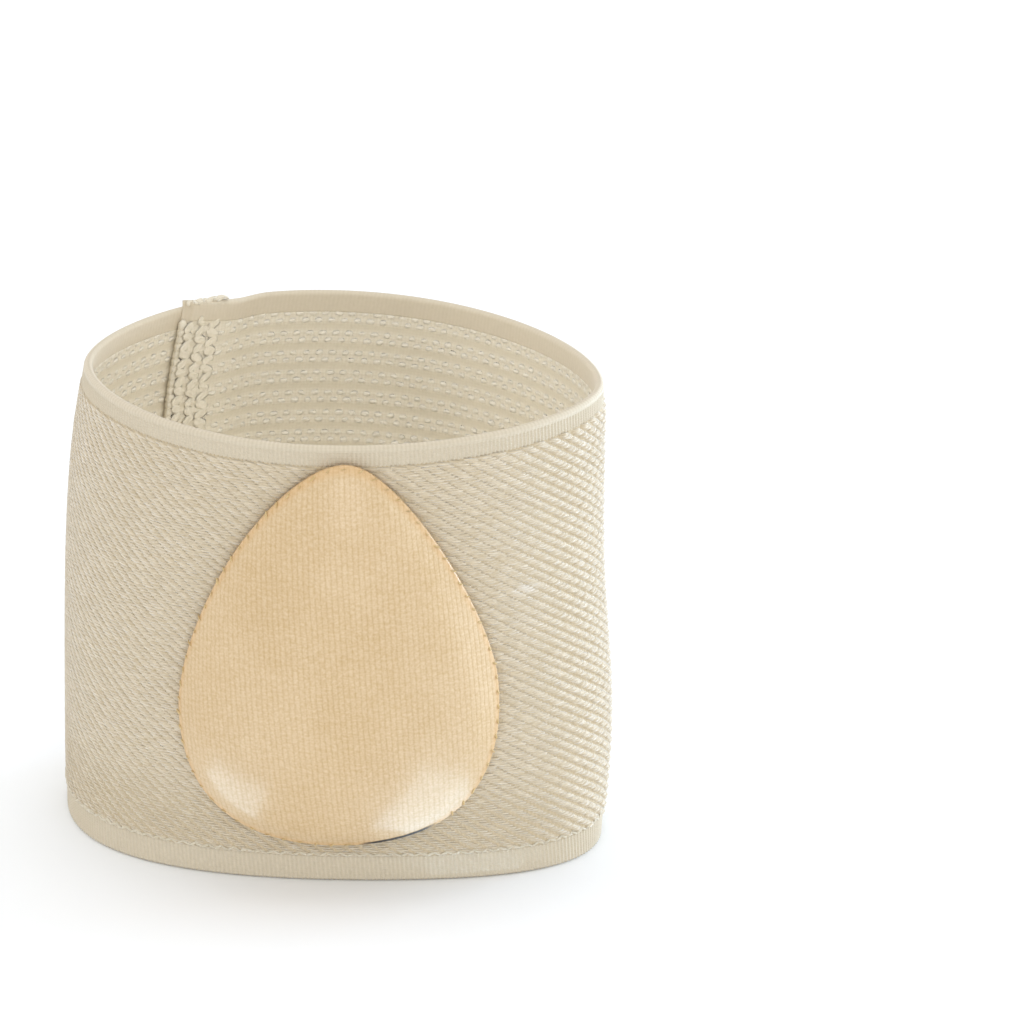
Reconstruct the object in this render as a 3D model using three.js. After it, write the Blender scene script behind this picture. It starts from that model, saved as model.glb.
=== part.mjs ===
// Arch support sleeve: a short tube of ribbed elastic webbing, lapped and sewn at the back left,
// with an egg-shaped gel pad in a knitted cover on its outer face.
// Millimetres, +Z up, the pad faces -Y. The sleeve stands on its bottom edge.
import * as THREE from "three";
import { LoftGeometry } from "three/addons/geometries/LoftGeometry.js";

// The strip of webbing, which is bent round so that its width is the sleeve's height
const STRIP_WIDTH = 75;
const GIRTH = 231; // outer face, once round
const PIECE_GAP = 0.3;
const STRIP_STEPS = 100; // sections along the strip

// The ribbed web between the two edges
const WEB_WALL = 1.9;
const WEB_ROUND = 0.5; // corner taken off the web's top and bottom
const WEB_ROWS = 8; // rows of faces up the web

// The woven edges, thinner than the web and set back from its ribs
const TOP_EDGE_HEIGHT = 3.5;
const BOTTOM_EDGE_HEIGHT = 4.6;
const EDGE_WALL = 1.4;
const EDGE_SET_BACK = 0.4;
const EDGE_ROUND = 0.3;
const EDGE_ROWS = 1;

// The lap, where the inner end passes inside the outer end and stands a little above the rim
const LAP_START = 0.587; // share of the way round from the front to the outer end
const LAP_LENGTH = 7.5;
const LAP_STEP_IN = WEB_WALL + PIECE_GAP;
const LAP_EASE = 9; // length over which the strip steps in
const STUB_RISE = 1.4;
const STUB_EASE = 13; // length over which the inner end rises

// The standing tube, a row for each level. Front, right, back and left are the points where the
// outer face reaches furthest, as [x, y, fullness]. A fullness of 0.55 is round, a larger one is
// flatter and a smaller one is a tighter bend.
const LEVELS = [
  {
    height: 0,
    front: [5.0, -30.2, 0.75],
    right: [41.1, -12.0, 0.62],
    back: [-4.5, 26.0, 0.53],
    left: [-45.3, 0.5, 0.58],
  },
  {
    height: 20,
    front: [3.6, -31.0, 0.68],
    right: [42.35, -9.6, 0.53],
    back: [-4.6, 28.0, 0.55],
    left: [-45.1, 1.3, 0.5],
  },
  {
    height: 45,
    front: [2.2, -31.8, 0.62],
    right: [41.0, -7.6, 0.46],
    back: [-4.7, 30.3, 0.56],
    left: [-44.3, 2.0, 0.45],
  },
  {
    height: 62,
    front: [1.5, -32.2, 0.6],
    right: [40.95, -6.7, 0.42],
    back: [-4.7, 31.8, 0.57],
    left: [-42.9, 2.4, 0.43],
  },
  {
    height: 75,
    front: [1.2, -32.5, 0.59],
    right: [41.2, -6.3, 0.4],
    back: [-4.7, 32.6, 0.57],
    left: [-40.7, 2.6, 0.41],
  },
];
const PIN_NAMES = ["front", "right", "back", "left"];
const PIN_WAYS = [
  new THREE.Vector2(1, 0),
  new THREE.Vector2(0, 1),
  new THREE.Vector2(-1, 0),
  new THREE.Vector2(0, -1),
];

// The gel pad. Its outline is given on the web's face by its lowest, right, top and left points, as
// [along the face from the front line, height, fullness].
const PAD_OUTLINE = [
  [-5.9, 7.0, 0.94],
  [21.7, 34.1, 0.31],
  [0.1, 72.6, 0.37],
  [-28.6, 28.0, 0.33],
];
const PAD_MIDDLE = new THREE.Vector2(-3.5, 33);
const PAD_CROWN = 5.6; // thickness at the middle
const PAD_RIM = 1.5; // thickness at the rim
const PAD_FLATNESS = 2.4; // more keeps the crown flatter
const PAD_ROUNDNESS = 0.85; // less rounds the shoulder more
const PAD_SECTORS = 72;
const PAD_BACK_REACHES = [0, 0.3, 0.6, 0.85, 0.985]; // shares of the way out to the rim
const PAD_FRONT_REACHES = [0.985, 0.93, 0.82, 0.66, 0.48, 0.28, 0];

const COLOURS = { web: 0xcdbf9f, edge: 0xd4c8b0, pad: 0xe3c59b };

// A closed curve through four pins in counter-clockwise order, the first being the lowest in y.
function loopThrough(pins) {
  const loop = new THREE.CurvePath();
  pins.forEach(([x, y, fullness], i) => {
    const [nextX, nextY, nextFullness] = pins[(i + 1) % pins.length];
    const start = new THREE.Vector2(x, y);
    const end = new THREE.Vector2(nextX, nextY);
    const span = end.clone().sub(start);
    const leaves = PIN_WAYS[i];
    const arrives = PIN_WAYS[(i + 1) % pins.length];
    const first = start.clone().addScaledVector(leaves, fullness * span.dot(leaves));
    const second = end.clone().addScaledVector(arrives, -nextFullness * span.dot(arrives));
    loop.add(new THREE.CubicBezierCurve(start, first, second, end));
  });
  return loop;
}

// The slope of one column of LEVELS at a row, from the rows on either side of it.
function slopeAt(row, read) {
  const above = LEVELS[Math.min(row + 1, LEVELS.length - 1)];
  const below = LEVELS[Math.max(row - 1, 0)];
  return (read(above) - read(below)) / (above.height - below.height);
}

// One column of LEVELS at any height, by a smooth curve through the rows.
function levelAt(height, read) {
  const top = LEVELS.length - 2;
  const row = Math.min(top, LEVELS.filter((level) => level.height <= height).length - 1);
  const step = LEVELS[row + 1].height - LEVELS[row].height;
  const t = (height - LEVELS[row].height) / step;
  const ease = t * t * (3 - 2 * t);
  return (
    read(LEVELS[row]) * (1 - ease) +
    read(LEVELS[row + 1]) * ease +
    step * slopeAt(row, read) * t * (1 - t) ** 2 -
    step * slopeAt(row + 1, read) * t * t * (1 - t)
  );
}

// The outer face's outline at a height. Above the rim and below the floor it stays as it is there.
const outlines = new Map();
function outlineAt(height) {
  const at = THREE.MathUtils.clamp(height, 0, STRIP_WIDTH);
  if (!outlines.has(at)) {
    const pins = PIN_NAMES.map((name) => [0, 1, 2].map((k) => levelAt(at, (level) => level[name][k])));
    outlines.set(at, loopThrough(pins));
  }
  return outlines.get(at);
}

// A point at a share of the way round, counter-clockwise from the front, and at a distance out of
// the outer face.
function onWall(share, height, out) {
  const outline = outlineAt(height);
  const t = THREE.MathUtils.euclideanModulo(share, 1);
  const point = outline.getPoint(t);
  const way = outline.getTangent(t);
  return new THREE.Vector3(point.x + way.y * out, point.y - way.x * out, height);
}

// A wall's profile as [out, height] points, up its inner face and down its outer face.
function wallProfile({ low, high, outer, inner, round, rows }) {
  const heights = [];
  for (let i = 0; i <= rows; i++) heights.push(THREE.MathUtils.lerp(low + round, high - round, i / rows));
  return [
    [inner + round, low],
    ...heights.map((height) => [inner, height]),
    [inner + round, high],
    [outer - round, high],
    ...heights.toReversed().map((height) => [outer, height]),
    [outer - round, low],
  ];
}

// A profile swept along the strip from the lap's outer end, once round, to its inner end.
function bandStrip(profile) {
  const whole = 1 + LAP_LENGTH / GIRTH;
  const sections = [];
  for (let i = 0; i <= STRIP_STEPS; i++) {
    const along = (whole * i) / STRIP_STEPS;
    const stepIn = LAP_STEP_IN * THREE.MathUtils.smoothstep(along, 1 - LAP_EASE / GIRTH, 1 - PIECE_GAP / GIRTH);
    const rise = STUB_RISE * THREE.MathUtils.smoothstep(along, whole - STUB_EASE / GIRTH, whole);
    sections.push(profile.map(([out, height]) => onWall(LAP_START + along, height + rise, out - stepIn)));
  }
  return new LoftGeometry(sections, { capStart: true, capEnd: true });
}

// A ring round the pad, at a share of the way from its middle to its rim.
function padRing(outline, reach, out) {
  const ring = [];
  for (let i = 0; i < PAD_SECTORS; i++) {
    const flat = PAD_MIDDLE.clone().lerp(outline.getPoint(i / PAD_SECTORS), reach);
    ring.push(onWall(flat.x / GIRTH, flat.y, out));
  }
  return ring;
}

// The pad's thickness, domed from the crown to the rim.
function padThickness(reach) {
  return PAD_RIM + (PAD_CROWN - PAD_RIM) * (1 - reach ** PAD_FLATNESS) ** PAD_ROUNDNESS;
}

// The pad from the middle of its back, round its rim, to its crown.
function domedPad() {
  const outline = loopThrough(PAD_OUTLINE);
  const rings = PAD_BACK_REACHES.map((reach) => padRing(outline, reach, PIECE_GAP));
  rings.push(padRing(outline, 1, PIECE_GAP + PAD_RIM / 2));
  for (const reach of PAD_FRONT_REACHES) rings.push(padRing(outline, reach, PIECE_GAP + padThickness(reach)));
  return new LoftGeometry(rings);
}

function piece(name, geometry, color) {
  const mesh = new THREE.Mesh(geometry, new THREE.MeshStandardMaterial({ color, roughness: 0.85 }));
  mesh.name = name;
  return mesh;
}

const web = bandStrip(
  wallProfile({
    low: BOTTOM_EDGE_HEIGHT + PIECE_GAP,
    high: STRIP_WIDTH - TOP_EDGE_HEIGHT - PIECE_GAP,
    outer: 0,
    inner: -WEB_WALL,
    round: WEB_ROUND,
    rows: WEB_ROWS,
  }),
);

const edgeFaces = { outer: -EDGE_SET_BACK, inner: -EDGE_SET_BACK - EDGE_WALL, round: EDGE_ROUND, rows: EDGE_ROWS };
const topEdge = bandStrip(wallProfile({ ...edgeFaces, low: STRIP_WIDTH - TOP_EDGE_HEIGHT, high: STRIP_WIDTH }));
const bottomEdge = bandStrip(wallProfile({ ...edgeFaces, low: 0, high: BOTTOM_EDGE_HEIGHT }));

const sleeve = new THREE.Group();
sleeve.name = "arch_support_sleeve";
sleeve.add(
  piece("elastic_web", web, COLOURS.web),
  piece("top_edge", topEdge, COLOURS.edge),
  piece("bottom_edge", bottomEdge, COLOURS.edge),
  piece("arch_pad", domedPad(), COLOURS.pad),
);

// The origin is the middle of the sleeve's box, on the floor.
const box = new THREE.Box3().setFromObject(sleeve);
const middle = box.getCenter(new THREE.Vector3());
for (const mesh of sleeve.children) mesh.geometry.translate(-middle.x, -middle.y, -box.min.z);

export default sleeve;
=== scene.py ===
# Arch support sleeve: a short tube of ribbed elastic webbing with an egg-shaped gel pad on its outer face.
# Metres, +Z up, and the pad faces -Y. Each piece is laid out flat, as (along the strip from the front line,
# height, out of the outer face), and is then bent round the standing tube.
import math

import bpy
import numpy as np
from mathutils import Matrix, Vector


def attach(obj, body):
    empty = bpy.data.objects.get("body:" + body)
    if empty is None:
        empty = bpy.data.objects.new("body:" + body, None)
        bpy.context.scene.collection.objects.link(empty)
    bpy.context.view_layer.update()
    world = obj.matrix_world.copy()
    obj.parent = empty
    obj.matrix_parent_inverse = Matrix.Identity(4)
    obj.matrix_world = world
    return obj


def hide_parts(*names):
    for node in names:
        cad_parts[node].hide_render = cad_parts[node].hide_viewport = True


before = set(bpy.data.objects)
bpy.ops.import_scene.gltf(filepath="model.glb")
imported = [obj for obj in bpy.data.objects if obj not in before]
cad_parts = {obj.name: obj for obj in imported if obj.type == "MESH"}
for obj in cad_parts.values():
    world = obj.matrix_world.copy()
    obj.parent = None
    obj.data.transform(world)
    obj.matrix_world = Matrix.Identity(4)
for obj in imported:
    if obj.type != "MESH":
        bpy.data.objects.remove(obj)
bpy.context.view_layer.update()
MM = 0.001


# The elastic web
# One strip of ribbed twill elastic, 75 mm wide with its edges, is bent round into a short tube. Its ends lap
# at the back left, where the inner end stands a little above the rim. Its inner face is woven in low cords.

# The tube's outline. Each row is a height, then the points where the outer face reaches furthest to the
# front, right, back and left, as (x, y, fullness), in millimetres as in the part's source.
LEVELS = (
    (0, (5.0, -30.2, 0.75), (41.1, -12.0, 0.62), (-4.5, 26.0, 0.53), (-45.3, 0.5, 0.58)),
    (20, (3.6, -31.0, 0.68), (42.35, -9.6, 0.53), (-4.6, 28.0, 0.55), (-45.1, 1.3, 0.5)),
    (45, (2.2, -31.8, 0.62), (41.0, -7.6, 0.46), (-4.7, 30.3, 0.56), (-44.3, 2.0, 0.45)),
    (62, (1.5, -32.2, 0.6), (40.95, -6.7, 0.42), (-4.7, 31.8, 0.57), (-42.9, 2.4, 0.43)),
    (75, (1.2, -32.5, 0.59), (41.2, -6.3, 0.4), (-4.7, 32.6, 0.57), (-40.7, 2.6, 0.41)),
)
TO_MIDDLE = (1.46, 2.55)  # the part's source moves the sleeve this far, so that its box is centred
PIN_WAYS = np.array(((1, 0), (0, 1), (-1, 0), (0, -1)))
STRIP_WIDTH = 75 * MM
GIRTH = 231 * MM
OUTLINE_STEP = 5 * MM
OUTLINE_COUNT = 16
OUTLINE_SMOOTHNESS = 48  # points of a loop between two of its pins


def pins_at(height):
    """The outline's four pins at a height in millimetres, by a smooth curve through the levels."""
    heights = np.array([level[0] for level in LEVELS], float)
    pins = np.array([level[1:] for level in LEVELS])
    last = len(heights) - 1
    row = min(int(np.searchsorted(heights, height, "right")) - 1, last - 1)

    def slope(at):
        above, below = min(at + 1, last), max(at - 1, 0)
        return (pins[above] - pins[below]) / (heights[above] - heights[below])

    step = heights[row + 1] - heights[row]
    t = (height - heights[row]) / step
    ease = t * t * (3 - 2 * t)
    level = pins[row] * (1 - ease) + pins[row + 1] * ease
    return level + step * (slope(row) * t * (1 - t) ** 2 - slope(row + 1) * t * t * (1 - t))


def add_loop(curve, pins, place):
    """Adds a closed loop through four pins. place turns a point of the loop into a point of the curve."""
    spline = curve.splines.new("BEZIER")
    spline.bezier_points.add(len(pins) - 1)
    spline.use_cyclic_u = True
    spline.resolution_u = OUTLINE_SMOOTHNESS
    for i, point in enumerate(spline.bezier_points):
        pin, way, fullness = pins[i][:2], PIN_WAYS[i], pins[i][2]
        ahead = pins[(i + 1) % len(pins)][:2] - pin
        behind = pin - pins[i - 1][:2]
        point.handle_left_type = point.handle_right_type = "FREE"
        point.co = place(pin)
        point.handle_right = place(pin + way * fullness * ahead.dot(way))
        point.handle_left = place(pin - way * fullness * behind.dot(way))


def helper(name, data):
    """An object that only feeds a node tree, and is removed at the end."""
    made = bpy.data.objects.new(name, data)
    bpy.context.scene.collection.objects.link(made)
    made.hide_render = True
    helpers.append(made)
    return made


helpers = []
outline_data = bpy.data.curves.new("outlines", "CURVE")
outline_data.dimensions = "3D"
for number in range(OUTLINE_COUNT):
    level_height = number * OUTLINE_STEP
    add_loop(
        outline_data,
        pins_at(level_height / MM),
        lambda p: ((p[0] + TO_MIDDLE[0]) * MM, (p[1] + TO_MIDDLE[1]) * MM, level_height),
    )
outlines = helper("outlines", outline_data)


class Wire:
    """One socket of a node tree. Sums on it add Math nodes, and node() adds a node of any other kind."""

    def __init__(self, tree, socket=None):
        self.tree = tree
        self.socket = socket

    def node(self, kind, settings=None, sockets=None, pick=0):
        made = self.tree.nodes.new(kind)
        for name, value in (settings or {}).items():
            setattr(made, name, value)
        for name, value in (sockets or {}).items():
            if isinstance(value, Wire):
                self.tree.links.new(value.socket, made.inputs[name])
            else:
                made.inputs[name].default_value = value
        return Wire(self.tree, made.outputs[pick] if made.outputs else None)

    def of(self, name):
        """Another output of the same node."""
        return Wire(self.tree, self.socket.node.outputs[name])

    def math(self, operation, *others):
        parts = dict(enumerate((self, *others)))
        return self.node("ShaderNodeMath", {"operation": operation}, parts)

    def __add__(self, other):
        return self.math("ADD", other)

    __radd__ = __add__

    def __sub__(self, other):
        return self.math("SUBTRACT", other)

    def __rsub__(self, other):
        return self.node("ShaderNodeMath", {"operation": "SUBTRACT"}, {0: other, 1: self})

    def __mul__(self, other):
        return self.math("MULTIPLY", other)

    __rmul__ = __mul__

    def __truediv__(self, other):
        return self.math("DIVIDE", other)

    def __pow__(self, other):
        return self.math("POWER", other)

    def __lt__(self, other):
        return self.math("LESS_THAN", other)

    def __gt__(self, other):
        return self.math("GREATER_THAN", other)

    def eased(self, start, end):
        """0 before start and 1 after end, with a smooth step between them."""
        sockets = {"Value": self, "From Min": start, "From Max": end}
        return self.node("ShaderNodeMapRange", {"interpolation_type": "SMOOTHSTEP"}, sockets)

    def vector(self, operation, other):
        return self.node("ShaderNodeVectorMath", {"operation": operation}, {0: self, 1: other})

    def parts(self):
        split = self.node("ShaderNodeSeparateXYZ", {}, {"Vector": self})
        return split, split.of("Y"), split.of("Z")

    def joined(self, x, y, z):
        return self.node("ShaderNodeCombineXYZ", {}, {"X": x, "Y": y, "Z": z})


def new_tree(name, inputs):
    """A Geometry Nodes tree with a named input for each size or object, and the wire of its input node."""
    tree = bpy.data.node_groups.new(name, "GeometryNodeTree")
    for input_name, kind in inputs.items():
        tree.interface.new_socket(input_name, in_out="INPUT", socket_type="NodeSocket" + kind)
    return Wire(tree).node("NodeGroupInput")


def end_tree(wire, kind="Geometry"):
    wire.tree.interface.new_socket(kind, in_out="OUTPUT", socket_type="NodeSocket" + kind)
    wire.node("NodeGroupOutput", {}, {0: wire})
    return wire.tree


def tube_tree():
    """Takes a flat point, as (along, height, out), to its place round the standing tube."""
    flat = new_tree("round_the_tube", {"Flat": "Vector"})
    along, height, out = flat.parts()
    level = height.math("MAXIMUM", 0.0).math("MINIMUM", STRIP_WIDTH) / OUTLINE_STEP
    low = level.math("FLOOR").math("MINIMUM", OUTLINE_COUNT - 2.0)
    share = (along / GIRTH).math("FRACT")
    loops = flat.node("GeometryNodeObjectInfo", {}, {"Object": outlines}, "Geometry")
    places, ways = [], []
    for number in (low, low + 1.0):
        sockets = {"Curves": loops, "Factor": share, "Curve Index": number}
        sample = flat.node("GeometryNodeSampleCurve", {"mode": "FACTOR"}, sockets, "Position")
        places.append(sample)
        ways.append(sample.of("Tangent"))
    mixed = []
    for pair in (places, ways):
        sockets = {0: level - low, 4: pair[0], 5: pair[1]}
        mixed.append(flat.node("ShaderNodeMix", {"data_type": "VECTOR"}, sockets, 1))
    x, y, _ = mixed[0].parts()
    way_x, way_y, _ = mixed[1].vector("MULTIPLY", (1.0, 1.0, 0.0)).vector("NORMALIZE", (0, 0, 0)).parts()
    return end_tree(flat.joined(x + way_y * out, y - way_x * out, height), "Vector")


TUBE = tube_tree()


def bent(flat):
    return flat.node("GeometryNodeGroup", {"node_tree": TUBE}, {"Flat": flat})


def lay_round_tube(mesh, material):
    """Ends a tree: keeps the flat places for the material, bends the mesh round the tube and finishes it."""
    place = mesh.node("GeometryNodeInputPosition")
    named = {"Geometry": mesh, "Name": "flat", "Value": place}
    kept = mesh.node("GeometryNodeStoreNamedAttribute", {"data_type": "FLOAT_VECTOR"}, named)
    moved = mesh.node("GeometryNodeSetPosition", {}, {"Geometry": kept, "Position": bent(place)})
    smooth = mesh.node("GeometryNodeSetShadeSmooth", {}, {0: moved})
    return mesh.node("GeometryNodeSetMaterial", {}, {"Geometry": smooth, "Material": material})


def made_by(tree, name, inputs):
    """Runs a tree and returns what it makes as a plain mesh object."""
    piece = bpy.data.objects.new(name, bpy.data.meshes.new(name))
    bpy.context.scene.collection.objects.link(piece)
    work = piece.modifiers.new(tree.name, "NODES")
    work.node_group = tree
    for item in tree.interface.items_tree:
        if item.in_out == "INPUT" and item.name in inputs:
            work[item.identifier] = inputs[item.name]
    graph = bpy.context.evaluated_depsgraph_get()
    mesh = bpy.data.meshes.new_from_object(
        piece.evaluated_get(graph), preserve_all_data_layers=True, depsgraph=graph
    )
    piece.modifiers.remove(work)
    piece.data = mesh
    mesh.name = name
    return piece


LAP_START = 0.587 * GIRTH  # from the front line to the strip's outer end
LAP_LENGTH = 7.5 * MM
LAP_STEP_IN = 1.8 * MM
LAP_EASE = 9 * MM
LAP_CLEAR = 0.3 * MM  # how far before its outer end the strip has stepped in
STUB_RISE = 1.4 * MM
STUB_EASE = 13 * MM
LAP_PRESS = 0.55 * MM  # how far the stitches press the inner end back on the outer one
PRESS_EASE = 5 * MM
RAW_EASE = 1.6 * MM  # length over which a raw end is pressed thin
RAW_THIN = 0.75  # share of its wall that it loses
STRIP_LENGTH = GIRTH + LAP_LENGTH
END_SHARE = 1e-5  # of the strip, taken as its very end
MERGE_WITHIN = 0.002 * MM


def lap_step(along):
    """How far in the strip lies at a distance from its outer end: stepped in, then pressed back a little."""
    step = along.eased(GIRTH - LAP_EASE, GIRTH - LAP_CLEAR) * LAP_STEP_IN
    return step - along.eased(STRIP_LENGTH - PRESS_EASE, STRIP_LENGTH) * LAP_PRESS


def strip_tree():
    """Sweeps a wall's profile along the strip, from the lap's outer end, once round, to its inner end."""
    sizes = {
        "Geometry": "Geometry", "Profile": "Object", "Profile points": "Int", "Steps": "Int",
        "Outer": "Float", "Inner": "Float", "Rib pitch": "Float", "Rib depth": "Float",
        "Material": "Material",
    }
    start = new_tree("strip", sizes)
    points = start.of("Profile points")
    counts = {"Size X": 1.0, "Size Y": 1.0, "Vertices X": start.of("Steps") + 1.0, "Vertices Y": points + 1.0}
    grid = start.node("GeometryNodeMeshGrid", {}, counts)
    x, y, _ = start.node("GeometryNodeInputPosition").parts()
    share = x + 0.5
    along = share * STRIP_LENGTH
    row = ((y + 0.5) * points).math("ROUND")
    row = row - points * (row > points - 0.5)
    profile = start.node("GeometryNodeObjectInfo", {}, {"Object": start.of("Profile")}, "Geometry")

    def read(kind, value):
        sockets = {"Geometry": profile, "Value": value, "Index": row}
        return start.node("GeometryNodeSampleIndex", {"data_type": kind}, sockets)

    _, height, out = read("FLOAT_VECTOR", start.node("GeometryNodeInputPosition")).parts()
    ribbed = read("FLOAT", start.node("GeometryNodeInputNamedAttribute", {}, {"Name": "ribbed"}))
    rise = along.eased(STRIP_LENGTH - STUB_EASE, STRIP_LENGTH) * STUB_RISE
    turns = along / start.of("Rib pitch") * math.tau
    out = out - ribbed * start.of("Rib depth") * (0.5 - turns.math("COSINE") * 0.5)
    outer, inner = start.of("Outer"), start.of("Inner")
    out = out + (inner - out) * (1 - along.eased(0.0, RAW_EASE)) * RAW_THIN
    out = out + (outer - out) * along.eased(STRIP_LENGTH - RAW_EASE, STRIP_LENGTH) * RAW_THIN
    first, last = share < END_SHARE, share > 1 - END_SHARE
    thin = RAW_THIN / 2
    out = out + first * (inner + (outer - inner) * (0.5 - thin) - out)
    out = out + last * (inner + (outer - inner) * (0.5 + thin) - out) - lap_step(along)
    named = {"Geometry": grid, "Name": "OFBake", "Value": grid.of("UV Map")}
    mapped = start.node("GeometryNodeStoreNamedAttribute", {"data_type": "FLOAT2", "domain": "CORNER"}, named)
    flat = start.joined(along + LAP_START, height + rise, out)
    placed = start.node("GeometryNodeSetPosition", {}, {"Geometry": mapped, "Position": flat})
    outward = start.node("GeometryNodeFlipFaces", {}, {"Mesh": placed})
    laid = lay_round_tube(outward, start.of("Material"))
    close = {"Geometry": laid, "Distance": MERGE_WITHIN}
    return end_tree(start.node("GeometryNodeMergeByDistance", {}, close))


STRIP = strip_tree()


def strip_piece(name, rows, steps, material, rib_pitch=1 * MM, rib_depth=0.0):
    """A strip with a closed profile of (height, outer, inner, ribbed) rows. The end rows are its two tips."""
    up = [(height, inner, 0.0) for height, outer, inner, ribbed in rows]
    down = [(height, outer, ribbed) for height, outer, inner, ribbed in rows[-2:0:-1]]
    data = bpy.data.meshes.new(name + "_profile")
    data.from_pydata([(0.0, height, out) for height, out, ribbed in up + down], [], [])
    data.attributes.new("ribbed", "FLOAT", "POINT").data.foreach_set("value", [r for _, _, r in up + down])
    _, outer, inner, _ = rows[len(rows) // 2]
    inputs = {
        "Profile": helper(data.name, data), "Profile points": len(data.vertices), "Steps": steps,
        "Outer": outer, "Inner": inner, "Rib pitch": rib_pitch, "Rib depth": rib_depth, "Material": material,
    }
    return made_by(STRIP, name, inputs)


def paint(code):
    """A colour given as on screen, in the linear values that a shader takes."""
    shares = [int(code[i:i + 2], 16) / 255 for i in (1, 3, 5)]
    return [s / 12.92 if s <= 0.04045 else ((s + 0.055) / 1.055) ** 2.4 for s in shares] + [1.0]


def new_cloth(name, roughness, sheen):
    """A new material with a cloth's even values set, its shader node and a wire to start from."""
    material = bpy.data.materials.new(name)
    material.use_nodes = True
    shader = material.node_tree.nodes["Principled BSDF"]
    shader.inputs["Roughness"].default_value = roughness
    shader.inputs["Specular IOR Level"].default_value = 0.25
    shader.inputs["Sheen Weight"].default_value = sheen
    shader.inputs["Sheen Roughness"].default_value = 0.45
    return material, shader, Wire(material.node_tree)


def feed(shader, name, wire):
    wire.tree.links.new(wire.socket, shader.inputs[name])


def flat_place(start):
    """Where a point of the piece lies on the flat strip, in millimetres."""
    place = start.node("ShaderNodeAttribute", {"attribute_name": "flat"}, {}, "Vector")
    return place.vector("MULTIPLY", (1 / MM, 1 / MM, 1 / MM))


def blend(start, share, first, second):
    sockets = {0: share, 6: first, 7: second}
    return start.node("ShaderNodeMix", {"data_type": "RGBA"}, sockets, 2)


def cloudy(start, place, scale, detail=2.0):
    """Soft noise from 0 to 1, in repeats to a millimetre."""
    sockets = {"Vector": place, "Scale": scale, "Detail": detail, "Roughness": 0.6}
    return start.node("ShaderNodeTexNoise", {}, sockets)


def bumped(start, shader, height, depth):
    """Lets a height from 0 to 1 stand that many metres out of the surface."""
    feed(shader, "Normal", start.node("ShaderNodeBump", {}, {"Height": height, "Distance": depth}))


WEB_LOW = 3.9 * MM  # tucked a little into the bottom edge
WEB_HIGH = 72.2 * MM  # and into the top edge
WEB_OUTER = -0.4 * MM  # the ground under the ribs
WEB_TUCKED = -0.75 * MM  # and where the edges lie over it
WEB_SHOWS = (4.5 * MM, 71.6 * MM)
WEB_INNER = -1.75 * MM
CORD_PITCH = 3.36 * MM  # of the pairs of low cords along the inner face
CORD_GAP = 1.2 * MM  # between the two cords of a pair
CORD_DEPTH = 0.16 * MM
CORD_ROWS = 10  # rows of faces to a pair
CORD_FOOT = 5.2 * MM  # height of the middle of the lowest gap between pairs
WEB_STEPS = 236
WEFT_PITCH = 0.6  # millimetres
WARP_PITCH = 0.46
MID_WALL = (-1.3, -1.0)  # millimetres out, between the inner and the outer face


def cord_shape(height):
    """How far the inner face stands in from the gaps between its cords, from 0 to 1."""
    across = (height - CORD_FOOT) % CORD_PITCH - CORD_PITCH / 2
    off = abs(abs(across) - CORD_GAP / 2) / (CORD_GAP / 2)
    return max(0.0, 1 - off ** 2)


def web_material():
    material, shader, start = new_cloth("web_ground", 0.9, 0.25)
    place = flat_place(start)
    along, height, out = place.parts()
    inside = 1 - out.eased(*MID_WALL)
    weft = (along * (math.tau / WEFT_PITCH)).math("SINE") * 0.5 + 0.5
    warp = (height * (math.tau / WARP_PITCH)).math("SINE") * 0.5 + 0.5
    grain = cloudy(start, place, 2.0)
    shade = weft * (0.35 - 0.15 * inside) + warp * 0.2 + grain * (0.5 + 0.1 * inside)
    outer = blend(start, shade, paint("#baa98a"), paint("#cebea1"))
    # Painted shade: the inner face is darker in the gaps between its pairs of cords, where shade falls under
    # each pair.
    between = ((height - CORD_FOOT / MM) * (math.tau * MM / CORD_PITCH)).math("COSINE").eased(0.1, 1.0)
    # The inner face is paler than the outer ground: partly its own tone, partly painted light that makes up
    # for the dimmer light inside the tube.
    inner = blend(start, shade * (1 - 0.65 * between), paint("#d3c9b2"), paint("#e9e2d2"))
    feed(shader, "Base Color", blend(start, inside, outer, inner))
    bumped(start, shader, shade, 0.06 * MM)
    return material


row_count = int((WEB_HIGH - WEB_LOW) / CORD_PITCH * CORD_ROWS)
web_rows = []
for height in np.linspace(WEB_LOW, WEB_HIGH, row_count + 1):
    outer = WEB_OUTER if WEB_SHOWS[0] < height < WEB_SHOWS[1] else WEB_TUCKED
    web_rows.append((height, outer, WEB_INNER + CORD_DEPTH * (1 - cord_shape(height)), 0.0))
web_middle = (WEB_OUTER + WEB_INNER) / 2
web_rows[0] = (WEB_LOW, web_middle, web_middle, 0.0)
web_rows[-1] = (WEB_HIGH, web_middle, web_middle, 0.0)
web = strip_piece("web_ground", web_rows, WEB_STEPS, web_material())
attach(web, "root")
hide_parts("elastic_web")


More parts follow.
